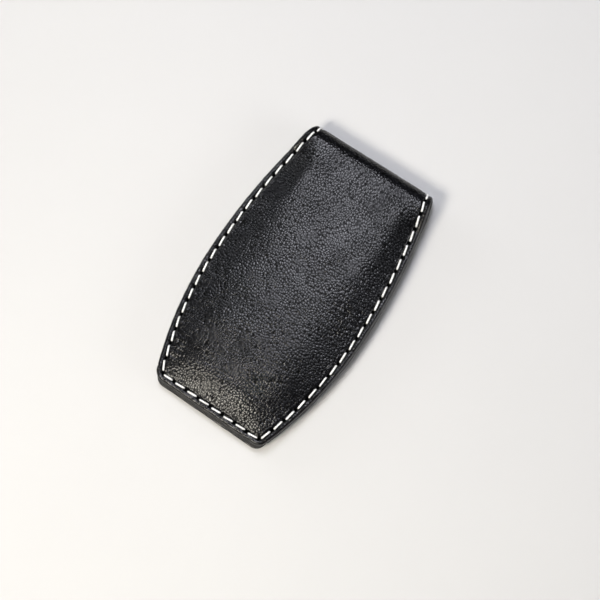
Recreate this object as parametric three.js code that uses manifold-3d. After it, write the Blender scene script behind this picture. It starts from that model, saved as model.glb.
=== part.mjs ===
// A leather money clip that magnets hold shut: two padded flaps joined by a soft fold, seamed all round.
// Millimetres. +Z is up and +Y runs from the free end to the fold. The closed clip lies on its back flap,
// and the origin is under the middle of its length and width, on the surface that it lies on.
import * as THREE from "three";
import { mergeVertices } from "three/addons/utils/BufferGeometryUtils.js";
import Module from "manifold-3d";

const wasm = await Module();
wasm.setup();

// Outline, seen from above.
const LENGTH = 77.2; // from the back flap's free end to the crown of the fold
const CREEP = 1.15; // how far the back flap reaches past the front one
const BELLY_HALF = 22.8; // half of the widest place
const BELLY_Y = -1.5; // where it is widest
const FOLD_SIDE_RADIUS = 160; // the side's curve from the belly to the fold
const END_SIDE_RADIUS = 100; // the side's curve from the belly to the free end
const CORNER_RADIUS = 3;
const SEAM_INSET = 1.6; // from the cut edge to the stitching

// Layers, from the inside face of a flap outwards.
const LINING = 0.8;
const BOARD = 1.0;
const PAD = 0.6;
const COVER = 1.2;
const RISE = BOARD + PAD; // how far the padded middle stands over the margin
const MID = LINING + RISE + COVER; // height of the plane where the flaps meet
const SLOPE = 5; // width of the slope between the seam and the padded middle
const BORDER = SEAM_INSET + SLOPE;

// The fold is a half-round loop, and the flaps close up on each other over LOOP_RUN.
const LOOP = MID - LINING - COVER; // inside radius of the fold
const FOLD_Y = LENGTH / 2 - MID; // the fold's centre
const LOOP_RUN = 7.5;
const BEND = Math.PI / 4; // each flap carries this much of the fold's arc

const MAGNET = { radius: 5, thick: BOARD, x: 6.2, y: -20.5, play: 0.15 };
const PATCH = { halfLength: 11.4, halfWidth: 5.6, thick: 0.2, pocket: 0.25 };
const TAPE = { half: 13, start: FOLD_Y - LOOP_RUN + 1, gap: 0.02, thick: 0.18, play: 0.25 };
const THREAD = { width: 0.6, thick: 0.3, play: 0.12 };

const BOARD_PLAY = 0.3; // between the board and the start of the slope
const BOARD_TOP_Y = FOLD_Y - LOOP_RUN - 0.5; // the board stops short of the loop
const OVERSIZE = 1; // how far a block reaches past what trims it
const ARC_SEGMENTS = 3;
const ROUND_SEGMENTS = 24;

const FREE_END = { front: CREEP - LENGTH / 2, back: -LENGTH / 2 };

const { smoothstep } = THREE.MathUtils;

const leather = (color) => new THREE.MeshStandardMaterial({ color, roughness: 0.55, metalness: 0 });
const MATERIAL = {
  cover: leather(0x1c1b1d),
  lining: leather(0x232224),
  thread: new THREE.MeshStandardMaterial({ color: 0xe9e7e1, roughness: 0.8, metalness: 0 }),
  board: new THREE.MeshStandardMaterial({ color: 0x6b5238, roughness: 0.9, metalness: 0 }),
  pad: new THREE.MeshStandardMaterial({ color: 0x3c3c40, roughness: 0.95, metalness: 0 }),
  magnet: new THREE.MeshStandardMaterial({ color: 0xb9bcc0, roughness: 0.25, metalness: 1 }),
  tape: new THREE.MeshStandardMaterial({ color: 0xd9d4c6, roughness: 0.85, metalness: 0 }),
};

// Solids.

function toSolid(geometry) {
  geometry.deleteAttribute("normal");
  geometry.deleteAttribute("uv");
  const merged = mergeVertices(geometry);
  return new wasm.Manifold(
    new wasm.Mesh({
      numProp: 3,
      vertProperties: merged.attributes.position.array,
      triVerts: new Uint32Array(merged.index.array),
    }),
  );
}

function toGeometry(solid) {
  const mesh = solid.getMesh();
  const geometry = new THREE.BufferGeometry();
  geometry.setAttribute("position", new THREE.BufferAttribute(mesh.vertProperties, mesh.numProp));
  geometry.setIndex(new THREE.BufferAttribute(mesh.triVerts, 1));
  geometry.computeVertexNormals();
  return geometry;
}

function named(name, solid, material) {
  const mesh = new THREE.Mesh(toGeometry(solid), material);
  mesh.name = name;
  return mesh;
}

/** The solid without the specks that rounding leaves where two cuts end in the same plane. */
const largest = (solid) => solid.decompose().reduce((a, b) => (a.volume() > b.volume() ? a : b));

// Outline.

/** Half of the clip's width at y, for the line that runs `inset` inside its cut edge. */
function halfWidth(y, inset = 0) {
  const radius = (y > BELLY_Y ? FOLD_SIDE_RADIUS : END_SIDE_RADIUS) - inset;
  return BELLY_HALF - inset - radius + Math.sqrt(radius ** 2 - (y - BELLY_Y) ** 2);
}

/** The barrel outline, `inset` inside the cut edge, open-ended past topY where the fold is. */
function barrel(freeEnd, inset = 0, topY = LENGTH / 2 + OVERSIZE) {
  const corner = Math.max(CORNER_RADIUS - inset, 0.3);
  const endSide = { x: BELLY_HALF - END_SIDE_RADIUS, radius: END_SIDE_RADIUS - inset };
  const foldSide = { x: BELLY_HALF - FOLD_SIDE_RADIUS, radius: FOLD_SIDE_RADIUS - inset };
  const cornerY = freeEnd + inset + corner;
  const cornerX = endSide.x + Math.sqrt((endSide.radius - corner) ** 2 - (cornerY - BELLY_Y) ** 2);
  const low = Math.atan2(cornerY - BELLY_Y, cornerX - endSide.x);
  const high = Math.asin((topY - BELLY_Y) / foldSide.radius);
  const shape = new THREE.Shape();
  shape.absarc(cornerX, cornerY, corner, -Math.PI / 2, low);
  shape.absarc(endSide.x, BELLY_Y, endSide.radius, low, 0);
  shape.absarc(foldSide.x, BELLY_Y, foldSide.radius, 0, high);
  shape.absarc(-foldSide.x, BELLY_Y, foldSide.radius, Math.PI - high, Math.PI);
  shape.absarc(-endSide.x, BELLY_Y, endSide.radius, Math.PI, Math.PI - low);
  shape.absarc(-cornerX, cornerY, corner, Math.PI - low, (3 * Math.PI) / 2);
  shape.closePath();
  return shape;
}

/** The points of a path, where each arc's first point is also the last one of the arc before it. */
function pointsOf(path, segments) {
  const points = path.getPoints(segments);
  return points.filter((p, i) => p.distanceTo(points.at(i - 1)) > 1e-3);
}

/** The shape stood up as a prism, from z = bottom over `height`. */
function prism(shape, bottom = -MID - OVERSIZE, height = 2 * (MID + OVERSIZE)) {
  const plain = new THREE.Shape(pointsOf(shape, ARC_SEGMENTS));
  plain.holes = shape.holes.map((hole) => new THREE.Path(pointsOf(hole, ROUND_SEGMENTS / 2)));
  const geometry = new THREE.ExtrudeGeometry(plain, { depth: height, bevelEnabled: false });
  return toSolid(geometry.translate(0, 0, bottom));
}

/** A wall that follows the seam, `width` thick. */
function seamWall(freeEnd, width) {
  const outside = prism(barrel(freeEnd, SEAM_INSET - width / 2));
  return outside.subtract(prism(barrel(freeEnd, SEAM_INSET + width / 2)));
}

// Layers. A station is a place along the clip: at(n) gives its y and z, n above the lining's inside face.

/** How much of the loop's opening is left at y: 0 where the flaps meet, 1 where the fold's arc starts. */
const loopShare = (y) => smoothstep(y, FOLD_Y - LOOP_RUN, FOLD_Y);

const flat = (y) => ({ y, at: (n) => [y, n + LOOP * loopShare(y)] });

function onArc(angle) {
  const at = (n) => [FOLD_Y + (LOOP + n) * Math.sin(angle), (LOOP + n) * Math.cos(angle)];
  return { y: FOLD_Y + MID * Math.sin(angle), at };
}

const spread = (from, to, count) =>
  Array.from({ length: count + 1 }, (_, i) => THREE.MathUtils.lerp(from, to, i / count));

/** The stations of a flap, from past its free end, or from `start`, to where it hands over to the fold. */
function flapStations(freeEnd, start = freeEnd - OVERSIZE) {
  const seam = freeEnd + SEAM_INSET;
  const ys = [
    freeEnd - OVERSIZE,
    ...spread(seam, seam + SLOPE, 4),
    ...spread(seam + SLOPE, FOLD_Y - LOOP_RUN, 5).slice(1),
    ...spread(FOLD_Y - LOOP_RUN, FOLD_Y, 5).slice(1),
  ].filter((y) => y > start);
  return [...[start, ...ys].map(flat), ...spread(0, BEND, 3).slice(1).map(onArc)];
}

const foldStations = spread(BEND, Math.PI - BEND, 8).map(onArc);

// Cutters run on a little past the planes where a flap hands over to the fold.
const flapCutter = (stations) => [...stations, onArc(BEND + 0.15)];
const foldCutter = (stations) => [onArc(BEND - 0.15), ...stations, onArc(Math.PI - BEND + 0.15)];

/** How far the pocket between cover and lining opens at x, y: full over the board, shut at the seam. */
function pocket(x, y, freeEnd) {
  const side = smoothstep(halfWidth(y, SEAM_INSET) - Math.abs(x), 0, SLOPE);
  const end = smoothstep(y - freeEnd - SEAM_INSET, 0, SLOPE);
  return RISE * side * end * (1 - loopShare(y));
}

/** The closed block between heights low and high, over the columns xs(y) at each station. */
function block(stations, xs, low, high) {
  const rows = stations.map((s) => xs(s.y).map((x) => [x, s]));
  const columns = rows[0].length;
  const at = (height) => rows.flat().flatMap(([x, s]) => [x, ...s.at(height(x, s.y))]);
  const count = rows.length * columns;
  const index = [];
  const quad = (a, b, c, d) => index.push(a, b, c, a, c, d);
  for (let i = 0; i + 1 < rows.length; i++) {
    for (let j = 0; j + 1 < columns; j++) {
      const [a, b, c, d] = [i * columns + j, i * columns + j + 1, (i + 1) * columns + j + 1, (i + 1) * columns + j];
      quad(a, d, c, b); // the low side
      quad(count + a, count + b, count + c, count + d);
    }
    for (const [from, to] of [[i * columns, (i + 1) * columns], [(i + 2) * columns - 1, (i + 1) * columns - 1]]) {
      quad(from, from + count, to + count, to);
    }
  }
  for (let j = 0; j + 1 < columns; j++) {
    const last = (rows.length - 1) * columns + j;
    quad(j, j + 1, count + j + 1, count + j);
    quad(last + 1, last, count + last, count + last + 1);
  }
  const geometry = new THREE.BufferGeometry();
  geometry.setAttribute("position", new THREE.Float32BufferAttribute([...at(low), ...at(high)], 3));
  geometry.setIndex(index);
  return toSolid(geometry);
}

const acrossAll = (y) => [-halfWidth(y, -OVERSIZE), halfWidth(y, -OVERSIZE)];
const acrossTape = (half) => () => [-half, half];

/** Columns that follow the seam, close together over the slope. */
function acrossSlope(y) {
  const right = [-OVERSIZE, ...spread(SEAM_INSET, BORDER, 4)].map((inset) => halfWidth(y, inset));
  return [...right.map((x) => -x), 0, ...right.reverse()];
}

const level = (n) => () => n;

/** The layers that cross the fold, for one body: its stations, its cutters' and the pocket under its cover. */
function leatherLayers(stations, cutters, freeEnd, opening) {
  const outline = prism(barrel(freeEnd));
  const channel = seamWall(freeEnd, THREAD.width + 2 * THREAD.play);
  const seam = seamWall(freeEnd, THREAD.width);
  const coverInside = (x, y) => LINING + opening(x, y);
  const coverOutside = (x, y) => coverInside(x, y) + COVER;
  const shifted = (height, by) => (x, y) => height(x, y) + by;
  const layer = (low, high, across = acrossAll) => block(stations, across, low, high).intersect(outline);

  const outerChannel = block(
    cutters, acrossSlope, shifted(coverOutside, -THREAD.thick - THREAD.play), shifted(coverOutside, OVERSIZE),
  );
  const outerThread = block(stations, acrossSlope, shifted(coverOutside, -THREAD.thick), coverOutside);
  const innerChannel = block(cutters, acrossAll, level(-OVERSIZE / 2), level(THREAD.thick + THREAD.play));
  const innerThread = block(stations, acrossAll, level(THREAD.play / 2), level(THREAD.thick));
  const tapeBlock = (over, half, low, high) =>
    block(over.filter((s) => s.y >= TAPE.start), acrossTape(half), level(low), level(high));
  const tapePocket = tapeBlock(cutters, TAPE.half + TAPE.play, LINING - TAPE.gap, LINING + TAPE.play);

  return {
    cover: largest(
      layer(coverInside, coverOutside, acrossSlope).subtract(outerChannel.intersect(channel)).subtract(tapePocket),
    ),
    lining: largest(
      layer(level(0), level(LINING)).subtract(innerChannel.intersect(channel)).subtract(tapePocket),
    ),
    tape: tapeBlock(stations, TAPE.half, LINING + TAPE.gap, LINING + TAPE.gap + TAPE.thick),
    outerThread: outerThread.intersect(seam),
    innerThread: innerThread.intersect(seam),
  };
}

// Pieces that lie between the lining and the cover of a flap.

const boardShape = (freeEnd) => barrel(freeEnd, BORDER + BOARD_PLAY, BOARD_TOP_Y);

function magnetHoles(shape) {
  for (const side of [-1, 1]) {
    const hole = new THREE.Path();
    hole.absarc(side * MAGNET.x, MAGNET.y, MAGNET.radius + MAGNET.play, 0, 2 * Math.PI);
    shape.holes.push(hole);
  }
  return shape;
}

function magnet(side) {
  const disc = new THREE.CylinderGeometry(MAGNET.radius, MAGNET.radius, MAGNET.thick, ROUND_SEGMENTS);
  disc.rotateX(Math.PI / 2);
  return toSolid(disc.translate(side * MAGNET.x, MAGNET.y, LINING + MAGNET.thick / 2));
}

function patch(growth, thick) {
  const size = [2 * (PATCH.halfLength + growth), 2 * (PATCH.halfWidth + growth), thick];
  return toSolid(new THREE.BoxGeometry(...size).translate(0, MAGNET.y, LINING + BOARD + thick / 2));
}

// Bodies.

function flap(name, freeEnd) {
  const stations = flapStations(freeEnd);
  const opening = (x, y) => pocket(x, y, freeEnd);
  const layers = leatherLayers(stations, flapCutter(stations), freeEnd, opening);
  const pad = prism(boardShape(freeEnd), LINING + BOARD, PAD).subtract(patch(PATCH.pocket, PATCH.pocket));
  const group = new THREE.Group();
  group.add(
    named(`${name}_cover`, layers.cover, MATERIAL.cover),
    named(`${name}_lining`, layers.lining, MATERIAL.lining),
    named(`${name}_fold_tape`, layers.tape, MATERIAL.tape),
    named(`${name}_outer_thread`, layers.outerThread, MATERIAL.thread),
    named(`${name}_inner_thread`, layers.innerThread, MATERIAL.thread),
    named(`${name}_board`, prism(magnetHoles(boardShape(freeEnd)), LINING, BOARD), MATERIAL.board),
    named(`${name}_pad`, pad, MATERIAL.pad),
    named(`${name}_magnet_patch`, patch(0, PATCH.thick), MATERIAL.tape),
    named(`${name}_magnet_left`, magnet(-1), MATERIAL.magnet),
    named(`${name}_magnet_right`, magnet(1), MATERIAL.magnet),
  );
  return group;
}

function fold() {
  const layers = leatherLayers(foldStations, foldCutter(foldStations), FREE_END.back, () => 0);
  const [outerLeft, outerRight] = layers.outerThread.decompose().sort(fromLeft);
  const [innerLeft, innerRight] = layers.innerThread.decompose().sort(fromLeft);
  const group = new THREE.Group();
  group.add(
    named("fold_cover", layers.cover, MATERIAL.cover),
    named("fold_lining", layers.lining, MATERIAL.lining),
    named("fold_tape", layers.tape, MATERIAL.tape),
    named("fold_outer_thread_left", outerLeft, MATERIAL.thread),
    named("fold_outer_thread_right", outerRight, MATERIAL.thread),
    named("fold_inner_thread_left", innerLeft, MATERIAL.thread),
    named("fold_inner_thread_right", innerRight, MATERIAL.thread),
  );
  return group;
}

const fromLeft = (a, b) => a.boundingBox().min[0] - b.boundingBox().min[0];

const frontFlap = flap("front", FREE_END.front);
const backFlap = flap("back", FREE_END.back);
backFlap.rotation.y = Math.PI; // the same flap, face down

const clip = new THREE.Group();
clip.add(frontFlap, backFlap, fold());
clip.position.z = MID;

export default clip;
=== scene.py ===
"""A black leather money clip with white stitching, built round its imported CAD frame.

Lengths in the shape functions are millimetres; meshes are made in metres. A flap is described on
its own flat chart: x across the clip, s along it from the free end over the fold, n outwards from
the face where the flaps meet.
"""
import itertools
import math

import bpy
import numpy as np
from mathutils import Matrix, Vector


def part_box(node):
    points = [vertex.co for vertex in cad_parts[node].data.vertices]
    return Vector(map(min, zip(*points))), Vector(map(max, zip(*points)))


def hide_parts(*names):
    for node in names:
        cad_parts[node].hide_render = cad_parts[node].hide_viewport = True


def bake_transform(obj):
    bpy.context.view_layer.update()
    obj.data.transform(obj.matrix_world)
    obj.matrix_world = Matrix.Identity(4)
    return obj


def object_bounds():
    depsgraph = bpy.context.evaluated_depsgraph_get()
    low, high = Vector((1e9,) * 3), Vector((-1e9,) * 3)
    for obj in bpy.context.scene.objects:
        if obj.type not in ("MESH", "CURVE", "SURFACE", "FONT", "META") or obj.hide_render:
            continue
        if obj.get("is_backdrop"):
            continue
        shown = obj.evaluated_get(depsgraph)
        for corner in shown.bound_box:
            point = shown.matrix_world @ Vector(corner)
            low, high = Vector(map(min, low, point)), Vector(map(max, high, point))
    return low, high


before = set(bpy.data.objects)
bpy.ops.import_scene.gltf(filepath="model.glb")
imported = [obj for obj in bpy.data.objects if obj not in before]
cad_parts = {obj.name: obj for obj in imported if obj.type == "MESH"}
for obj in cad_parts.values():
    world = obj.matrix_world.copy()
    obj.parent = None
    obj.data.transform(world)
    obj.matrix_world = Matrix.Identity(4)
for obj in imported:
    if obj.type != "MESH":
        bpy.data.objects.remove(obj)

cad_box = [list(corner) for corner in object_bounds()]


def box_mm(node):
    low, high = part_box(node)
    return np.array(low) * 1000, np.array(high) * 1000


# --- sizes read from the frame --------------------------------------------------------------------

BELLY_HALF, LENGTH_HALF, HEIGHT = (1000 * v for v in cad_box[1])
MID = HEIGHT / 2  # height of the face where the flaps meet, and the fold's outside radius
FOLD_Y = LENGTH_HALF - MID
FREE_END = {"front": box_mm("front_cover")[0][1], "back": box_mm("back_cover")[0][1]}
LINING = box_mm("front_board")[0][2] - MID
RISE = box_mm("front_pad")[1][2] - box_mm("front_board")[0][2]
COVER = MID - LINING - RISE
LOOP = RISE  # the fold's inside radius
BAND = LINING + COVER  # thickness of the leather at the margin
THREAD_HALF = 0.3  # half the width of the CAD's thread
SEAM = BELLY_HALF - box_mm("front_outer_thread")[1][0] + THREAD_HALF  # from the cut edge to the seam
APEX = FOLD_Y + MID * math.pi / 2  # s at the crown of the fold

# --- the outline, as in the CAD -------------------------------------------------------------------

BELLY_Y = -1.5
FOLD_SIDE_RADIUS = 160.0
END_SIDE_RADIUS = 100.0
CORNER = 3.0
BELLY_ROLL = 15.0  # how far in from the seam the padding reaches its full height, where the clip is widest
FOLD_ROLL = 6.5  # and beside the fold
ROLL_START = BELLY_Y - 4  # it narrows from here to the fold
FLAT_SIDE = 1.1  # the padding is this much slacker on the left
END_RAMP = 5.4  # at the free end, the board's edge makes a straight ramp
END_SHOULDER = 0.33  # and this share of the rise is left for the gentle slope after it
SHOULDER_START, SHOULDER_RUN = 0.9, 2.9  # where that slope starts and how long it is, in ramps
RAMP_FOOT, RAMP_FOOT_WIDTH = 0.05, 0.15  # the board's edge swells the ramp's foot
RAMP_TOP, RAMP_TOP_WIDTH = 0.08, 0.2  # and the ramp's top is rounded down
LOOP_RUN = 7.5  # how far before the fold the flaps begin to part
CROWN = {"front": 0.22, "back": 0.0}  # how far the middle of a cover swells over the padding
CROWN_HALF = 24.0  # it would fall to nothing this far from the middle line

# --- the grain of the cover ---------------------------------------------------------------------

PEBBLE = 0.60  # size of a pebble
GRAIN = 0.045  # height of the grain
GRAIN_SPREAD = 0.2  # the share by which that differs from place to place
PEBBLE_DOME = 2.0  # how much of it the pebble's round top takes
PEBBLE_CREASE = 0.6  # and how much the crease round it takes away
CREASE_WIDTH = 0.3  # in pebbles
PEBBLE_SCATTER = 0.49  # how far a pebble's middle strays from its cell's, in cells
PEBBLE_PATTERN = 256  # cells before the pattern comes again
PEBBLE_DRIFT = 0.3  # how far the cells wander, so that they stand in no straight rows
PEBBLE_LEAN = 0.12  # how far they lean for each millimetre along the clip
PEBBLE_STRETCH = 0.9  # cells to the pebble's size along the clip, which makes them a little long

# --- the seam -----------------------------------------------------------------------------------

STITCH = 3.75
STITCH_GAP = 0.95
STITCH_SLANT = math.radians(5.0)
SIDE_STITCHES = 20
END_STITCHES = 8
SEAM_REACH = 14.0  # a point farther than this from the seam has no place along it
SIDE_POINTS, CORNER_POINTS, END_POINTS = 500, 16, 100  # of the stitching line
BATCH = 3000  # points of a face that are measured against it at a time
GROOVE, GROOVE_PULL, GROOVE_WIDTH = 0.13, 0.10, 0.5  # the seam's groove, and how much deeper at a hole
DIP, DIP_WIDTH = 0.09, 1.7  # the wider, shallower dip round the groove
SWELL, SWELL_AT, SWELL_WIDTH = 0.07, 0.85, 0.4  # the leather swells between holes, beside the groove
HOLE_DEPTH = 0.5
HOLE_WIDTH = 0.75  # as a share of its length along the seam
HOLE_BOTTOM, HOLE_RIM = 0.25, 0.68  # distances from the hole's middle
PUCKER = 0.045  # height of the fine puckers inside the seam
PUCKER_PITCH = 1.5
PUCKERS_OUT = 17  # they fade out from this far before the fold
BELLY_PUCKERS = 5  # how many times stronger they are at the belly's right, where the cover swells
FLAT_MARGIN = 7  # the swelling and the leather's own waves begin over this width inside the seam
WAVE, SMALL_WAVE, EDGE_WAVE = 0.05, 0.012, 0.02  # heights of the waves in the leather
COVER_ROUND, LINING_ROUND = 0.5, 0.25  # radii of the rounded cut edges
LINING_GROOVE, LINING_GROOVE_WIDTH = 0.34, 0.42  # the seam's groove in the lining
LINING_HOLE, LINING_HOLE_WIDTH = 0.14, 0.26  # and how much deeper it is at a hole

LINING_STEP = {"front": -0.5, "back": 0.15}  # the free end's layers are cut in steps
LINING_INSET = 0.16  # how far inside the cover's edge the lining's lies
COVER_BACK, LINING_BACK = LINING + 0.03, LINING - 0.02  # the hidden faces stand just apart


def smooth(t, low=0.0, high=1.0):
    t = np.clip((t - low) / (high - low), 0, 1)
    return t * t * (3 - 2 * t)


def bell(d, width):
    return np.exp(-((d / width) ** 2))


def side_radius(y, inset=0.0):
    return np.where(y > BELLY_Y, FOLD_SIDE_RADIUS, END_SIDE_RADIUS) - inset


def half_width(y, inset=0.0):
    radius = side_radius(y, inset)
    return BELLY_HALF - inset - radius + np.sqrt(radius**2 - (y - BELLY_Y) ** 2)


def y_of(s):
    """How far along the clip the chart's s lies, once the fold has turned it over."""
    turn = np.clip((s - FOLD_Y) / MID, 0, math.pi / 2)
    return np.where(s > FOLD_Y, FOLD_Y + MID * np.sin(turn), s)


def loop_share(s):
    return smooth(s, FOLD_Y - LOOP_RUN, FOLD_Y)


class Outline:
    """The edge of one flap, `grow` outside the CAD's."""

    def __init__(self, free_end, grow=0.0):
        self.grow = grow
        self.free_end = free_end - grow
        self.corner = CORNER + grow
        self.corner_y = self.free_end + self.corner
        radius = END_SIDE_RADIUS + grow - self.corner
        self.corner_x = BELLY_HALF - END_SIDE_RADIUS + math.sqrt(radius**2 - (self.corner_y - BELLY_Y) ** 2)

    def half(self, s):
        """Half of the width at s, the rounded corners included."""
        rounded = self.corner_x + np.sqrt(np.clip(self.corner**2 - (self.corner_y - s) ** 2, 0, None))
        return np.where(s < self.corner_y, rounded, half_width(y_of(s), -self.grow))

    def inset(self, x, s):
        """Distance inwards from the cut edge."""
        y = y_of(s)
        radius = side_radius(y)
        side = radius + self.grow - np.hypot(np.abs(x) - (BELLY_HALF - radius), y - BELLY_Y)
        end = s - self.free_end
        corner = self.corner - np.hypot(np.abs(x) - self.corner_x, s - self.corner_y)
        in_corner = (np.abs(x) > self.corner_x) & (s < self.corner_y)
        return np.where(in_corner, corner, np.minimum(side, end))


class Seam:
    """The stitching line of one flap, from the crown of the fold down one side, across and up the other."""

    def __init__(self, free_end):
        ring = Outline(free_end, -SEAM)
        s = np.linspace(APEX, ring.corner_y, SIDE_POINTS)
        side = np.stack([ring.half(s), s], 1)
        low = math.atan2(ring.corner_y - BELLY_Y, ring.corner_x - (BELLY_HALF - END_SIDE_RADIUS))
        angle = np.linspace(low, -math.pi / 2, CORNER_POINTS)[1:]
        corner_x = ring.corner_x + ring.corner * np.cos(angle)
        corner_s = ring.corner_y + ring.corner * np.sin(angle)
        corner = np.stack([corner_x, corner_s], 1)
        end_x = np.linspace(ring.corner_x, 0, END_POINTS)[1:]
        end = np.stack([end_x, np.full(len(end_x), ring.free_end)], 1)
        right = np.concatenate([side, corner, end])
        self.points = np.concatenate([right, (right * (-1, 1))[-2::-1]])
        step = np.hypot(*np.diff(self.points, axis=0).T)
        self.length = np.concatenate([[0], np.cumsum(step)])
        turn = len(side) + len(corner) // 2  # the middle of the corner, where a hole falls
        first, last = self.length[turn], self.length[-1] - self.length[turn]
        self.holes = np.concatenate([
            np.linspace(0, first, SIDE_STITCHES + 1),
            np.linspace(first, last, END_STITCHES + 1)[1:],
            np.linspace(last, self.length[-1], SIDE_STITCHES + 1)[1:],
        ])

    def at(self, length):
        return np.stack([np.interp(length, self.length, self.points[:, k]) for k in (0, 1)], -1)

    def near(self, x, s, apart, reach):
        """(distance to the nearest hole, place along the seam), for the points less than reach apart."""
        close = np.flatnonzero(apart.ravel() < reach)
        flat = np.stack([x.ravel()[close], s.ravel()[close]], 1).astype(np.float32)
        line = self.points.astype(np.float32)
        along = np.zeros(x.size)
        for part in np.array_split(np.arange(len(close)), 1 + len(close) // BATCH):
            d = (flat[part, None, 0] - line[None, :, 0]) ** 2 + (flat[part, None, 1] - line[None, :, 1]) ** 2
            along[close[part]] = self.length[d.argmin(1)]
        after = np.clip(np.searchsorted(self.holes, along), 1, len(self.holes) - 1)
        to_hole = np.minimum(np.abs(along - self.holes[after]), np.abs(along - self.holes[after - 1]))
        return to_hole.reshape(x.shape), along.reshape(x.shape)


def ripples(x, s, count, shortest, longest, seed):
    """A smooth random height between about -1 and 1, made of plane waves."""
    draw = np.random.RandomState(seed)
    total = np.zeros_like(x)
    for _ in range(count):
        wave = 2 * math.pi / draw.uniform(shortest, longest)
        heading, phase = draw.uniform(0, 2 * math.pi, 2)
        total += np.sin(wave * (x * math.cos(heading) + s * math.sin(heading)) + phase)
    return total / math.sqrt(count * 2)


def pebbles(x, s, size, seed):
    """(how near the border with the next pebble, distance from the pebble's own middle), in pebbles."""
    draw = np.random.RandomState(seed)
    offset = draw.uniform(-PEBBLE_SCATTER, PEBBLE_SCATTER, (PEBBLE_PATTERN, PEBBLE_PATTERN, 2))
    u, v = x / size, s / size
    own_u, own_v = np.floor(u).astype(int), np.floor(v).astype(int)
    first = np.full(x.shape, np.inf)
    second = np.full(x.shape, np.inf)
    for step_u, step_v in itertools.product((-1, 0, 1), repeat=2):
        cell_u, cell_v = own_u + step_u, own_v + step_v
        shift = offset[cell_u % PEBBLE_PATTERN, cell_v % PEBBLE_PATTERN]
        d = np.hypot(cell_u + 0.5 + shift[..., 0] - u, cell_v + 0.5 + shift[..., 1] - v)
        second = np.minimum(second, np.maximum(first, d))
        first = np.minimum(first, d)
    return second - first, first


# --- heights of the leather faces, in n -----------------------------------------------------------


def roll_off(t):
    """0 at the seam and 1 where the plateau starts: an even slope that eases into the plateau."""
    ease = 0.6  # this share of the slope is the easing
    down = 1 - np.clip(t, 0, 1)
    q = np.minimum(down / ease, 1)
    drop = ease * (q**3 - q**4 / 2) + np.maximum(down - ease, 0)
    return 1 - drop / (1 - ease / 2)


def padding(x, s, free_end):
    """How far the board and pad lift the cover: a plateau that rolls off towards the seam."""
    y = y_of(s)
    roll = BELLY_ROLL + (FOLD_ROLL - BELLY_ROLL) * smooth(y, ROLL_START, FOLD_Y)
    roll *= np.where(x < 0, FLAT_SIDE, 1.0)
    side = roll_off((half_width(y, SEAM) - np.abs(x)) / roll)
    rise = (s - free_end - SEAM) / END_RAMP
    ramp = np.clip(rise, 0, 1) - RAMP_TOP * bell(rise - 1, RAMP_TOP_WIDTH)
    ramp += RAMP_FOOT * bell(rise, RAMP_FOOT_WIDTH)
    shoulder = 1 - (1 - np.clip((rise - SHOULDER_START) / SHOULDER_RUN, 0, 1)) ** 2
    end = ramp + END_SHOULDER * (shoulder - ramp)
    return RISE * side * end * (1 - loop_share(s))


def round_edge(d, radius):
    """The drop of a rounded cut edge, at a distance d in from it."""
    inside = np.clip(radius - d, 0, radius)
    return radius - np.sqrt(radius**2 - inside**2)


def grain(x, s):
    """(height, crease) of the cover's pebbled grain."""
    drift_x, drift_s = ripples(x, s, 10, 5, 14, 41), ripples(x, s, 10, 5, 14, 43)
    cell_x = x + PEBBLE_DRIFT * drift_x + PEBBLE_LEAN * s
    cell_s = (s + PEBBLE_DRIFT * drift_s) * PEBBLE_STRETCH
    border, middle = pebbles(cell_x, cell_s, PEBBLE, 47)
    crease = bell(border, CREASE_WIDTH)
    strength = 1 + GRAIN_SPREAD * ripples(x, s, 12, 6, 18, 45)
    return GRAIN * strength * (PEBBLE_DOME * (1 - middle**2) - PEBBLE_CREASE * crease), crease


def puckers(x, s, inward, along, crown):
    """Fine creases that run in from the seam, most of them at the right of the front's belly."""
    patchy = bell(inward - 2.6, 1.6) * smooth(ripples(x, s, 9, 9, 22, 8), -0.2, 0.9)
    patchy += crown * BELLY_PUCKERS * bell(inward - 5, 4.5) * bell(y_of(s) - 3, 8) * (x > 0)
    patchy *= 1 - smooth(s, FOLD_Y - PUCKERS_OUT, FOLD_Y - LOOP_RUN)
    lines = np.sin(2 * math.pi * along / PUCKER_PITCH + 2.5 * ripples(x, s, 12, 3, 9, 9))
    return PUCKER * patchy * smooth(inward, 0.3, 1.5) * lines


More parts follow.
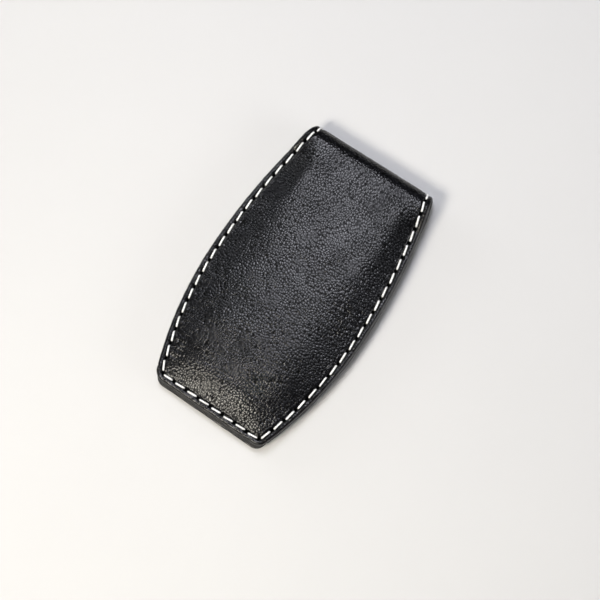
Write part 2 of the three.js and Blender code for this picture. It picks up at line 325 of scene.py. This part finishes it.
def cover_outside(x, s, free_end, outline, seam, crown):
    """(n, painted values) of the cover's outer face."""
    d = outline.inset(x, s)
    inward = d - SEAM
    apart = np.abs(inward)
    to_hole, along = seam.near(x, s, apart, SEAM_REACH)
    pull = 0.5 + 0.5 * np.cos(np.clip(to_hole / (STITCH / 2), 0, 1) * math.pi)  # 1 at a hole
    hole = 1 - smooth(np.hypot(apart / HOLE_WIDTH, to_hole), HOLE_BOTTOM, HOLE_RIM)
    n = BAND + padding(x, s, free_end)
    groove = (GROOVE + GROOVE_PULL * pull) * bell(apart, GROOVE_WIDTH)
    n -= groove + DIP * bell(apart, DIP_WIDTH) + HOLE_DEPTH * hole
    n += SWELL * (1 - pull) * bell(apart - SWELL_AT, SWELL_WIDTH)
    middle = smooth(d, SEAM, SEAM + FLAT_MARGIN)
    n += crown * middle * (1 - (x / CROWN_HALF) ** 2) * (1 - loop_share(s))
    n += middle * WAVE * ripples(x, s, 26, 7, 24, 3)
    n += middle * SMALL_WAVE * ripples(x, s, 30, 1.6, 4.5, 5)
    n += puckers(x, s, inward, along, crown)
    n += EDGE_WAVE * bell(d - 1.0, 0.8) * ripples(x, s, 20, 2.5, 8, 6)
    pebble, crease = grain(x, s)
    n += pebble * smooth(d, 0.2, 0.7) * (1 - 0.7 * bell(apart, 0.4))
    n -= round_edge(d, COVER_ROUND)
    # Painted shade: the stitch holes, and a little of the groove beside them, are marked for a near-black
    # colour without gloss.
    hole = np.clip(1.2 * hole + 0.3 * bell(apart, 0.42) * pull, 0, 1)
    return n, {"hole": hole, "crease": crease, "edge": 1 - smooth(d, 0.12, 0.5)}


def lining_inside(x, s, outline, cover_outline, seam):
    """(n, painted values) of the lining's shown face, drawn in along the seam."""
    d = outline.inset(x, s)
    apart = np.abs(cover_outline.inset(x, s) - SEAM)
    to_hole, _ = seam.near(x, s, apart, 2.0)
    hole = bell(np.hypot(apart, to_hole), LINING_HOLE_WIDTH)
    n = LINING_GROOVE * bell(apart, LINING_GROOVE_WIDTH) + LINING_HOLE * hole
    n += round_edge(d, LINING_ROUND)
    # hole also marks where the lining's stitch holes get painted shade.
    return n, {"hole": hole, "edge": 1 - smooth(d, 0.06, 0.3)}


# --- from the chart to the row frame --------------------------------------------------------------


def place(x, s, n, flap):
    """Row-frame points in metres."""
    turn = np.clip((s - FOLD_Y) / MID, 0, math.pi / 2)
    y = np.where(s > FOLD_Y, FOLD_Y + (LOOP + n) * np.sin(turn), s)
    z = np.where(s > FOLD_Y, (LOOP + n) * np.cos(turn), n + LOOP * loop_share(s))
    up = 1 if flap == "front" else -1
    return np.stack([x, y, MID + up * z], -1) / 1000


def new_object(name, points, faces, materials, face_material=None):
    mesh = bpy.data.meshes.new(name)
    mesh.from_pydata([tuple(p) for p in points], [], [tuple(f) for f in faces])
    for material in materials:
        mesh.materials.append(material)
    if face_material is not None:
        mesh.polygons.foreach_set("material_index", np.asarray(face_material, np.int32))
    mesh.polygons.foreach_set("use_smooth", np.ones(len(mesh.polygons), bool))
    mesh.update()
    obj = bpy.data.objects.new(name, mesh)
    bpy.context.scene.collection.objects.link(obj)
    return obj


CHART_UNIT = 100  # millimetres to one unit of the UV map
CHART_SHIFT = 50  # millimetres, which keeps all of the chart above 0


def add_chart(obj, x, s):
    """The flat chart as the piece's UV map, so the grain follows the leather round the fold."""
    mesh = obj.data
    layer = mesh.uv_layers.new(name="chart")
    corner = np.zeros(len(mesh.loops), np.int32)
    mesh.loops.foreach_get("vertex_index", corner)
    uv = (np.stack([np.ravel(x), np.ravel(s)], 1) + CHART_SHIFT) / CHART_UNIT
    layer.data.foreach_set("uv", uv[corner].astype(np.float32).ravel())


def add_values(obj, values):
    for name, value in values.items():
        layer = obj.data.attributes.new(name, "FLOAT", "POINT")
        layer.data.foreach_set("value", np.ravel(value).astype(np.float32))


ROLLED_EDGE = np.array([0, 0.03, 0.09, 0.17, 0.27, 0.38])  # insets of the rows along a cut edge
EDGE_ROWS = (0.5, 7.5)  # the insets between which further rows follow the edge
# The cut edge's rows: how far out, and how far down from the shown face to the hidden one.
EDGE_PROFILE = ((0.05, 0.18), (0.085, 0.42), (0.085, 0.66), (0.04, 0.86), (-0.05, 1.0))
LIP = 1.6  # how far the hidden face reaches in under the shown one
EDGE_WAVER = 0.05  # the edge isn't cut quite straight
EDGE_STRIP = 0.3  # the chart goes on this far for each row down the edge
EDGE_PAINTED = 0.75  # a face of the rolled edge with more than this painted on is edge paint


def grid(outline, spacing):
    """The chart's columns and rows for a flap's skin, close together along the cut edges."""
    edge = np.concatenate([ROLLED_EDGE, np.arange(*EDGE_ROWS, spacing)])
    first = outline.free_end + edge[-1]
    further = np.linspace(first, APEX, round((APEX - first) / spacing))[1:]
    rows = np.concatenate([outline.free_end + edge, further])
    side = outline.half(rows)[:, None] - edge[None, :]
    inner = side[:, -1:]
    middle = np.linspace(-1, 1, round(2 * inner.max() / spacing))[None, 1:-1]
    x = np.concatenate([-side, middle * inner, side[:, ::-1]], 1)
    return x, np.repeat(rows[:, None], x.shape[1], 1)


def skin(name, flap, outline, spacing, face, back, materials, outward):
    """A sheet of leather: its shown face, its cut edge, and a lip on its hidden side.

    face(x, s) gives the shown face's n and its painted values, back is the hidden face's n, and
    outward is 1 where the shown face looks outwards.
    """
    x, s = grid(outline, spacing)
    n, values = face(x, s)
    rows, columns = x.shape
    index = np.arange(rows * columns).reshape(rows, columns)
    corners = (index[:-1, :-1], index[:-1, 1:], index[1:, 1:], index[1:, :-1])
    quads = np.stack(corners, -1).reshape(-1, 4)
    ring = np.concatenate([index[::-1, 0], index[0, 1:-1], index[:, -1]])
    ring_x, ring_s, ring_n = x.ravel()[ring], s.ravel()[ring], n.ravel()[ring]
    sideways = np.where(np.abs(ring_x) > outline.corner_x, np.sign(ring_x), 0.0)
    endways = np.where(sideways == 0, -1.0, 0.0)
    corner = (np.abs(ring_x) >= outline.corner_x) & (ring_s <= outline.corner_y)
    corner_x = (np.abs(ring_x) - outline.corner_x) * np.sign(ring_x) / outline.corner
    away_x = np.where(corner, corner_x, sideways)
    away_s = np.where(corner, (ring_s - outline.corner_y) / outline.corner, endways)
    waver = EDGE_WAVER * ripples(ring_x, ring_s, 14, 2, 9, 21)
    levels = []
    for out, down in (*EDGE_PROFILE, (-LIP, 1.0)):
        swell = out + (waver if down < 1 else 0)
        level = ring_n + (back - ring_n) * down
        levels.append((ring_x + away_x * swell, ring_s + away_s * swell, level))
    points = [place(x, s, n, flap).reshape(-1, 3)]
    chart_x, chart_s = [x.ravel()], [s.ravel()]
    faces, kinds = [quads], [np.zeros(len(quads), int)]
    previous = ring
    total = rows * columns
    for k, (lx, ls, ln) in enumerate(levels):
        current = total + np.arange(len(ring))
        total += len(ring)
        points.append(place(lx, np.minimum(ls, APEX), ln, flap))
        chart_x.append(ring_x + away_x * (EDGE_STRIP * (k + 1)))
        chart_s.append(ring_s + away_s * (EDGE_STRIP * (k + 1)))
        faces.append(np.stack([previous[1:], previous[:-1], current[:-1], current[1:]], -1))
        kinds.append(np.full(len(ring) - 1, 1 if k < len(EDGE_PROFILE) else 0))
        previous = current
    faces = np.concatenate(faces)
    kinds[0][values["edge"].ravel()[quads].mean(1) > EDGE_PAINTED] = 1
    if (outward > 0) != (flap == "front"):
        faces = faces[:, ::-1]
    obj = new_object(name, np.concatenate(points), faces, materials, np.concatenate(kinds))
    add_chart(obj, np.concatenate(chart_x), np.concatenate(chart_s))
    extra = total - rows * columns
    add_values(obj, {
        key: np.concatenate([value.ravel(), np.full(extra, 1.0 if key == "edge" else 0.0)])
        for key, value in values.items()
    })
    return obj


# --- stitches -------------------------------------------------------------------------------------

THREAD_SIDES = 15
THREAD_RADIUS = 0.225
THREAD_BEND = 0.33  # the middle line's radius where it turns down into a hole
THREAD_FLAT = (1.08, 0.92)  # the pulled thread is this wide and this high, in round ones
PLIES = 3
PLY_TURN = 2.1  # millimetres for a ply to go once round
PLY_VALLEY, PLY_SWELL = 0.84, 0.2  # the thread's radius between two plies, and how much more on one
THREAD_SEED = {("front", 1): 31, ("front", -1): 35, ("back", 1): 37, ("back", -1): 41}
TURN_SPREAD = 0.012  # no two stitches lie quite alike
LENGTH_SPREAD = 0.05
SIDE_SPREAD = 0.03
RADIUS_SPREAD = 0.03
CHORD_SHARE = 0.2  # how far a stitch cuts the seam's curve, from one hole straight to the next


def mirrored(half, sign):
    return np.concatenate([sign * half[:0:-1], half])


def stitch_line(length, dive):
    """(along, height, tilt) of a stitch's middle line: level, then down into the hole at each end."""
    leg = length / 2 - THREAD_RADIUS
    turn = np.linspace(0, math.pi / 2, 7)
    run = np.linspace(0, leg - THREAD_BEND, 9)[:-1]
    along = np.concatenate([run, leg - THREAD_BEND * (1 - np.sin(turn)), [leg, leg]])
    down = -THREAD_BEND - dive * np.array([0.5, 1])
    height = np.concatenate([0 * run, -THREAD_BEND * (1 - np.cos(turn)), down])
    tilt = np.concatenate([0 * run, turn, [math.pi / 2, math.pi / 2]])
    return mirrored(along, -1), mirrored(height, 1), mirrored(tilt, -1)


def stitches(name, flap, seam, level, dive, outward):
    """Every stitch of one side of a flap's seam, each a short piece of twisted thread.

    Its middle line lies at n = level and goes down into each hole by dive. outward is 1 for the
    seam's outer side and -1 for the side on the lining.
    """
    draw = np.random.RandomState(THREAD_SEED[flap, outward])
    all_points, all_faces, chart = [], [], []
    start = 0
    angle = np.linspace(0, 2 * math.pi, THREAD_SIDES, endpoint=False)
    ring = np.arange(THREAD_SIDES)
    after = np.roll(ring, -1)
    for a, b in zip(seam.holes[:-1], seam.holes[1:]):
        ends = seam.at(np.array([a, b]))
        middle = seam.at(np.array([(a + b) / 2]))[0]
        heading = ends[1] - ends[0]
        pitch = np.hypot(*heading)
        slant = outward * STITCH_SLANT + draw.normal(0, TURN_SPREAD)
        turn = math.atan2(heading[1], heading[0]) + slant
        ahead = np.array([math.cos(turn), math.sin(turn)])
        aside = np.array([-math.sin(turn), math.cos(turn)])
        along, height, tilt = stitch_line(pitch - STITCH_GAP + draw.normal(0, LENGTH_SPREAD), dive)
        middle = (1 - CHORD_SHARE) * middle + CHORD_SHARE * ends.mean(0)
        middle += aside * draw.normal(0, SIDE_SPREAD)
        travel = np.concatenate([[0], np.cumsum(np.hypot(np.diff(along), np.diff(height)))])
        twist = 2 * math.pi * travel[:, None] / PLY_TURN
        ply = PLIES * (angle[None, :] - twist - draw.uniform(0, 6)) / 2
        radius = THREAD_RADIUS * draw.normal(1, RADIUS_SPREAD)
        radius = radius * (PLY_VALLEY + PLY_SWELL * np.abs(np.cos(ply)))
        across = radius * np.cos(angle) * THREAD_FLAT[0]
        up = radius * np.sin(angle)
        forward = along[:, None] + up * np.sin(tilt)[:, None]
        rise = height[:, None] + up * np.cos(tilt)[:, None] * THREAD_FLAT[1]
        x = middle[0] + ahead[0] * forward + aside[0] * across
        s = middle[1] + ahead[1] * forward + aside[1] * across
        all_points.append(place(x, np.minimum(s, APEX), level + outward * rise, flap).reshape(-1, 3))
        round_it = np.tile(angle / (2 * math.pi), len(along))
        chart.append(np.stack([round_it, np.repeat(a + travel, THREAD_SIDES)], 1))
        for i in range(len(along) - 1):
            low, high = start + i * THREAD_SIDES, start + (i + 1) * THREAD_SIDES
            all_faces.append(np.stack([low + ring, low + after, high + after, high + ring], -1))
        start += THREAD_SIDES * len(along)
    faces = np.concatenate(all_faces)
    if (outward > 0) != (flap == "front"):
        faces = faces[:, ::-1]
    obj = new_object(name, np.concatenate(all_points), faces, [THREAD])
    add_chart(obj, *np.concatenate(chart).T)
    return obj


# --- materials ------------------------------------------------------------------------------------


class Nodes:
    """A small helper that adds and links nodes of one material."""

    def __init__(self, name):
        self.material = bpy.data.materials.new(name)
        self.material.use_nodes = True
        self.tree = self.material.node_tree
        self.shader = self.tree.nodes["Principled BSDF"]

    def set(self, **sockets):
        for key, value in sockets.items():
            self.shader.inputs[key.replace("_", " ")].default_value = value
        return self

    def add(self, kind, inputs=None, **settings):
        node = self.tree.nodes.new("ShaderNode" + kind)
        for key, value in settings.items():
            setattr(node, key, value)
        for key, value in (inputs or {}).items():
            if hasattr(value, "is_output"):
                self.tree.links.new(value, node.inputs[key])
            else:
                node.inputs[key].default_value = value
        return node

    def math(self, operation, a, b, clamp=False):
        return self.add("Math", {0: a, 1: b}, operation=operation, use_clamp=clamp).outputs[0]

    def ramp(self, value, low, high, to_low=0.0, to_high=1.0):
        inputs = {"Value": value, "From Min": low, "From Max": high, "To Min": to_low, "To Max": to_high}
        return self.add("MapRange", inputs, interpolation_type="SMOOTHSTEP").outputs["Result"]

    def mix(self, factor, a, b):
        """Between two colours; the Mix node's colour sockets are its inputs 6 and 7 and output 2."""
        return self.add("Mix", {0: factor, 6: a, 7: b}, data_type="RGBA").outputs[2]

    def scaled(self, vector, scale):
        return self.add("Mapping", {"Vector": vector, "Scale": scale}).outputs["Vector"]

    def chart(self, scale=CHART_UNIT):
        """The place on the chart, in millimetres unless another scale is given."""
        return self.scaled(self.add("UVMap", uv_map="chart").outputs["UV"], (scale,) * 3)

    def object_place(self):
        """The place in object space, for a piece that has no chart."""
        return self.add("TexCoord").outputs["Object"]

    def noise(self, vector, scale, detail=3.0, roughness=0.55):
        inputs = {"Vector": vector, "Scale": scale, "Detail": detail, "Roughness": roughness}
        return self.add("TexNoise", inputs).outputs["Fac"]

    def voronoi(self, vector, scale, feature):
        inputs = {"Vector": vector, "Scale": scale, "Randomness": 0.9}
        node = self.add("TexVoronoi", inputs, voronoi_dimensions="2D", feature=feature)
        return node.outputs["Distance"]

    def link(self, output, socket):
        self.tree.links.new(output, self.shader.inputs[socket])

    def bump(self, height, distance, strength=1.0):
        """Relief as deep as distance, in metres."""
        inputs = {"Height": height, "Distance": distance, "Strength": strength}
        self.link(self.add("Bump", inputs).outputs["Normal"], "Normal")


def rgb(r, g, b):
    return (r, g, b, 1.0)


HOLE_SHADE = rgb(0.0015, 0.0015, 0.0015)  # painted shade in a stitch hole


def leather_tone(m, place_mm, dark, light):
    """(colour, hole): dye that is a little uneven, and 1 where the mesh is painted with a stitch hole's
    shade.
    """
    tone = m.ramp(m.noise(place_mm, 0.11), 0.35, 0.65)
    hole = m.add("Attribute", attribute_name="hole").outputs["Fac"]
    return m.mix(tone, dark, light), hole


def pebbled_leather():
    """The cover: its mesh carries the pebbles, and paints how deep in a crease each point is.

    Where it is metallic its near-black colour is also its reflection, so little gloss shows down in
    The creases and the stitch holes are painted shade: their colour is near-black, and where it is
    metallic that colour is also its reflection, so little gloss shows down in them.
    """
    m = Nodes("cover_leather")
    place_mm = m.chart()
    dark, light = rgb(0.0035, 0.0036, 0.0048), rgb(0.007, 0.0072, 0.0095)
    colour, hole = leather_tone(m, place_mm, dark, light)
    crease = m.add("Attribute", attribute_name="crease").outputs["Fac"]
    pores = m.noise(place_mm, 6.0, 2.0)
    m.bump(pores, 0.00002)
    # Painted shade: the creases are darkened towards near-black.
    colour = m.mix(m.ramp(crease, 0.3, 0.7), colour, rgb(0.0015, 0.0015, 0.0018))
    # Painted shade: the stitch holes are near-black.
    m.link(m.mix(m.math("MULTIPLY", hole, 0.9), colour, HOLE_SHADE), "Base Color")
    rough = m.ramp(m.noise(place_mm, 0.22), 0.3, 0.7, 0.16, 0.20)
    rough = m.math("ADD", rough, m.ramp(crease, 0.5, 0.9, 0.0, 0.1))
    m.link(m.math("ADD", rough, m.math("MULTIPLY", hole, 0.35), clamp=True), "Roughness")
    # Painted shade: metallic with the near-black colour takes the gloss out of the creases and the stitch
    # holes.
    m.link(m.math("MAXIMUM", m.ramp(crease, 0.4, 0.85, 0.0, 0.65), hole), "Metallic")
    return m.set(IOR=1.42).material


def smooth_leather():
    """The lining: matt, with a grain that is too fine to model."""
    m = Nodes("lining_leather")
    place_mm = m.chart()
    colour, hole = leather_tone(m, place_mm, rgb(0.012, 0.012, 0.0125), rgb(0.02, 0.02, 0.021))
    crease = m.voronoi(place_mm, 1.9, "DISTANCE_TO_EDGE")
    height = m.math("ADD", m.ramp(crease, 0.0, 0.2), m.noise(place_mm, 5.0, 2.0))
    m.bump(height, 0.00008)
    # Painted shade: the lining's stitch holes are near-black.
    m.link(m.mix(m.math("MULTIPLY", hole, 0.9), colour, HOLE_SHADE), "Base Color")
    m.link(m.ramp(m.noise(place_mm, 0.3), 0.3, 0.7, 0.46, 0.56), "Roughness")
    return m.set(IOR=1.5).material


def edge_paint():
    """Painted cut edges: satin, with the leather's fibre just showing."""
    m = Nodes("edge_paint")
    fibre = m.noise(m.chart(60), 2.4, 4.0, 0.65)
    m.bump(fibre, 0.00007)
    dark, light = rgb(0.006, 0.006, 0.0065), rgb(0.017, 0.0165, 0.016)
    m.link(m.mix(m.ramp(fibre, 0.35, 0.7), dark, light), "Base Color")
    m.link(m.ramp(fibre, 0.3, 0.7, 0.34, 0.5), "Roughness")
    return m.material


def waxed_thread():
    """White thread: fine strands along it, with painted shade between them, and a little grey where it is
    handled.
    """
    m = Nodes("waxed_thread")
    along = m.chart()
    strands = m.noise(m.scaled(along, (9.0, 1.2, 1.0)), 2.2)
    m.bump(strands, 0.00004, 0.8)
    grime = m.ramp(m.noise(along, 0.35, 2.0), 0.35, 0.75)
    colour = m.mix(grime, rgb(0.88, 0.88, 0.87), rgb(0.78, 0.775, 0.76))
    # Painted shade: greyer where the strands' bump is low, between them.
    m.link(m.mix(m.ramp(strands, 0.25, 0.5, 0.4, 0.0), colour, rgb(0.55, 0.54, 0.52)), "Base Color")
    m.link(m.ramp(strands, 0.3, 0.7, 0.52, 0.68), "Roughness")
    return m.set(Sheen_Weight=0.15, Sheen_Roughness=0.4).material


def fibrous(name, dark, light, stretch, depth, roughness):
    """Felt or board: matted fibre, with this many blots to the millimetre along each axis."""
    m = Nodes(name)
    vector = m.scaled(m.object_place(), tuple(1000 * v for v in stretch))
    fibre = m.noise(vector, 1.6, 5.0, 0.7)
    blotch = m.noise(vector, 0.2, 2.0)
    m.bump(fibre, depth)
    colour = m.mix(m.ramp(fibre, 0.3, 0.7), dark, light)
    m.link(m.mix(m.ramp(blotch, 0.4, 0.7, 0.0, 0.25), colour, dark), "Base Color")
    m.link(m.ramp(fibre, 0.3, 0.7, roughness, roughness - 0.12), "Roughness")
    return m.material


def woven_tape():
    """Unbleached cotton: threads both ways, with painted shade between them."""
    m = Nodes("woven_tape")
    inputs = {"Vector": m.object_place(), "Scale": 620.0, "Distortion": 0.6, "Detail": 1.0}
    waves = [m.add("TexWave", inputs, bands_direction=direction).outputs["Fac"] for direction in "XY"]
    weave = m.math("MULTIPLY", *waves)
    m.bump(weave, 0.00006)
    # Painted shade: darker where the weave's bump is low, between the threads.
    m.link(m.mix(weave, rgb(0.42, 0.39, 0.33), rgb(0.72, 0.69, 0.62)), "Base Color")
    m.link(m.ramp(weave, 0.0, 1.0, 0.95, 0.8), "Roughness")
    return m.material


def nickel():
    """The magnets' plating, finely scratched along x."""
    m = Nodes("nickel_plating")
    brushed = m.scaled(m.object_place(), (300.0, 4200.0, 300.0))
    scratch = m.noise(brushed, 1.0, 3.0, 0.6)
    m.bump(scratch, 0.000012)
    m.link(m.mix(scratch, rgb(0.50, 0.49, 0.47), rgb(0.68, 0.67, 0.64)), "Base Color")
    m.link(m.ramp(scratch, 0.3, 0.7, 0.2, 0.34), "Roughness")
    return m.set(Metallic=1.0).material


COVER_LEATHER = pebbled_leather()
LINING_LEATHER = smooth_leather()
EDGE_PAINT = edge_paint()
THREAD = waxed_thread()
WOVEN_TAPE = woven_tape()
NICKEL = nickel()

LEATHER_BOARD = fibrous(
    "leather_board", rgb(0.09, 0.055, 0.03), rgb(0.22, 0.15, 0.09),
    stretch=(0.5, 1.4, 1.0), depth=0.0001, roughness=0.85,
)
GREY_FELT = fibrous(
    "grey_felt", rgb(0.03, 0.03, 0.033), rgb(0.09, 0.09, 0.095),
    stretch=(1.5, 1.5, 1.5), depth=0.00025, roughness=0.97,
)

CARRIED = {  # the ends of the CAD nodes' names, and what they are made of
    "fold_tape": WOVEN_TAPE,
    "patch": WOVEN_TAPE,
    "board": LEATHER_BOARD,
    "pad": GREY_FELT,
    "magnet_left": NICKEL,
    "magnet_right": NICKEL,
}
for node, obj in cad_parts.items():
    for ending, material in CARRIED.items():
        if node.endswith(ending):
            obj.data.materials.clear()
            obj.data.materials.append(material)

# --- the leather and its seams --------------------------------------------------------------------

COVER_SPACING, LINING_SPACING = 0.12, 0.3
OUTER_DIVE = 0.4  # how far a stitch goes down into its hole
INNER_DIVE, INNER_SINK = 0.1, 0.27  # on the lining, where the thread is also pulled in


def bend_with_fold(obj):
    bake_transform(obj)


for flap, free_end in FREE_END.items():
    seam = Seam(free_end)
    cover_edge = Outline(free_end)
    lining_edge = Outline(free_end + LINING_STEP[flap], -LINING_INSET)
    cover = skin(
        f"{flap}_cover_leather", flap, cover_edge, COVER_SPACING,
        lambda x, s: cover_outside(x, s, free_end, cover_edge, seam, CROWN[flap]),
        COVER_BACK, [COVER_LEATHER, EDGE_PAINT], outward=1,
    )
    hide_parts(f"{flap}_cover", "fold_cover")
    lining = skin(
        f"{flap}_lining_leather", flap, lining_edge, LINING_SPACING,
        lambda x, s: lining_inside(x, s, lining_edge, cover_edge, seam),
        LINING_BACK, [LINING_LEATHER, EDGE_PAINT], outward=-1,
    )
    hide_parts(f"{flap}_lining", "fold_lining")
    outer = stitches(f"{flap}_outer_stitches", flap, seam, BAND, OUTER_DIVE, outward=1)
    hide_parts(f"{flap}_outer_thread", "fold_outer_thread_left", "fold_outer_thread_right")
    inner = stitches(f"{flap}_inner_stitches", flap, seam, INNER_SINK, INNER_DIVE, outward=-1)
    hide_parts(f"{flap}_inner_thread", "fold_inner_thread_left", "fold_inner_thread_right")
    for piece in (cover, lining, outer, inner):
        bend_with_fold(piece)


# --- floor, light and camera ----------------------------------------------------------------------


FLOOR_HALF = 1.2  # metres, as all lengths from here on


def floor():
    """It touches the lowest of the back cover's grain, which stands a little proud of the CAD's face."""
    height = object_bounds()[0][2]
    points = [(FLOOR_HALF * x, FLOOR_HALF * y, height) for x, y in ((-1, -1), (1, -1), (1, 1), (-1, 1))]
    m = Nodes("pale_floor")
    cloud = m.noise(m.object_place(), 9.0)
    m.link(m.mix(cloud, rgb(0.56, 0.56, 0.56), rgb(0.60, 0.60, 0.595)), "Base Color")
    m.set(Roughness=0.75)
    new_object("floor", points, [(0, 1, 2, 3)], [m.material])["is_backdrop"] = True


def area_light(name, at, towards, size, radiance, colour=(1.0, 1.0, 1.0)):
    """A softbox of that size in metres whose face shows that radiance."""
    lamp = bpy.data.lights.new(name, "AREA")
    lamp.shape = "RECTANGLE"
    lamp.size, lamp.size_y = size
    lamp.energy = radiance * math.pi * size[0] * size[1]
    lamp.color = colour
    obj = bpy.data.objects.new(name, lamp)
    bpy.context.scene.collection.objects.link(obj)
    obj.location = at
    obj.rotation_mode = "QUATERNION"
    obj.rotation_quaternion = (Vector(towards) - Vector(at)).to_track_quat("-Z", "Y")


# The lights stand where the photo's highlights ask for them: a cool sheen down the middle of the
# front, a warm one at its free end, and dim slopes at both sides.
MIDDLE = (0.0, 0.0, 0.0)
COOL, PALE_BLUE, WARM = (0.91, 0.915, 1.0), (0.93, 0.95, 1.0), (1.0, 0.94, 0.82)

floor()
area_light("overhead_softbox", (-0.080, 0.152, 0.50), (0.0, 0.02, 0.0), (0.11, 0.22), 20.0, COOL)
area_light("warm_card", (-0.080, -0.25, 0.37), (0.0, -0.03, 0.0), (0.13, 0.13), 33.5, WARM)
area_light("left_strip", (-0.27, 0.06, 0.50), MIDDLE, (0.04, 0.34), 6.4, PALE_BLUE)
area_light("right_strip", (0.09, 0.06, 0.50), MIDDLE, (0.04, 0.34), 5.4, PALE_BLUE)
area_light("left_fill", (-0.85, 0.10, 0.30), MIDDLE, (0.5, 0.3), 4.0)
area_light("right_fill", (0.85, 0.20, 0.30), MIDDLE, (0.5, 0.3), 6.0)

world = bpy.data.worlds.new("studio")
world.use_nodes = True
background = world.node_tree.nodes["Background"].inputs
background["Color"].default_value = rgb(1.0, 1.0, 1.0)
background["Strength"].default_value = 0.06  # the room's own faint light
bpy.context.scene.world = world
bpy.context.scene.view_settings.view_transform = "Standard"

# The photo's camera, worked out from how the seam's outline narrows in it.
CAMERA_LENS, SENSOR = 70.9, 36.0  # millimetres
CAMERA_AT = (0.0525, -0.0137, 0.2971)
CAMERA_BACK = (0.1639, -0.0419, 0.9856)  # from what it looks at towards the camera
CAMERA_RIGHT = (0.8239, 0.5552, -0.1135)

camera = bpy.data.objects.new("camera", bpy.data.cameras.new("camera"))
bpy.context.scene.collection.objects.link(camera)
camera.data.sensor_width = SENSOR
camera.data.lens = CAMERA_LENS
camera.data.clip_start, camera.data.clip_end = 0.01, 10.0
back = Vector(CAMERA_BACK).normalized()
right = Vector(CAMERA_RIGHT)
right = (right - back * right.dot(back)).normalized()
turned = Matrix((right, back.cross(right), back)).transposed().to_4x4()
camera.matrix_world = Matrix.Translation(CAMERA_AT) @ turned
bpy.context.scene.camera = camera
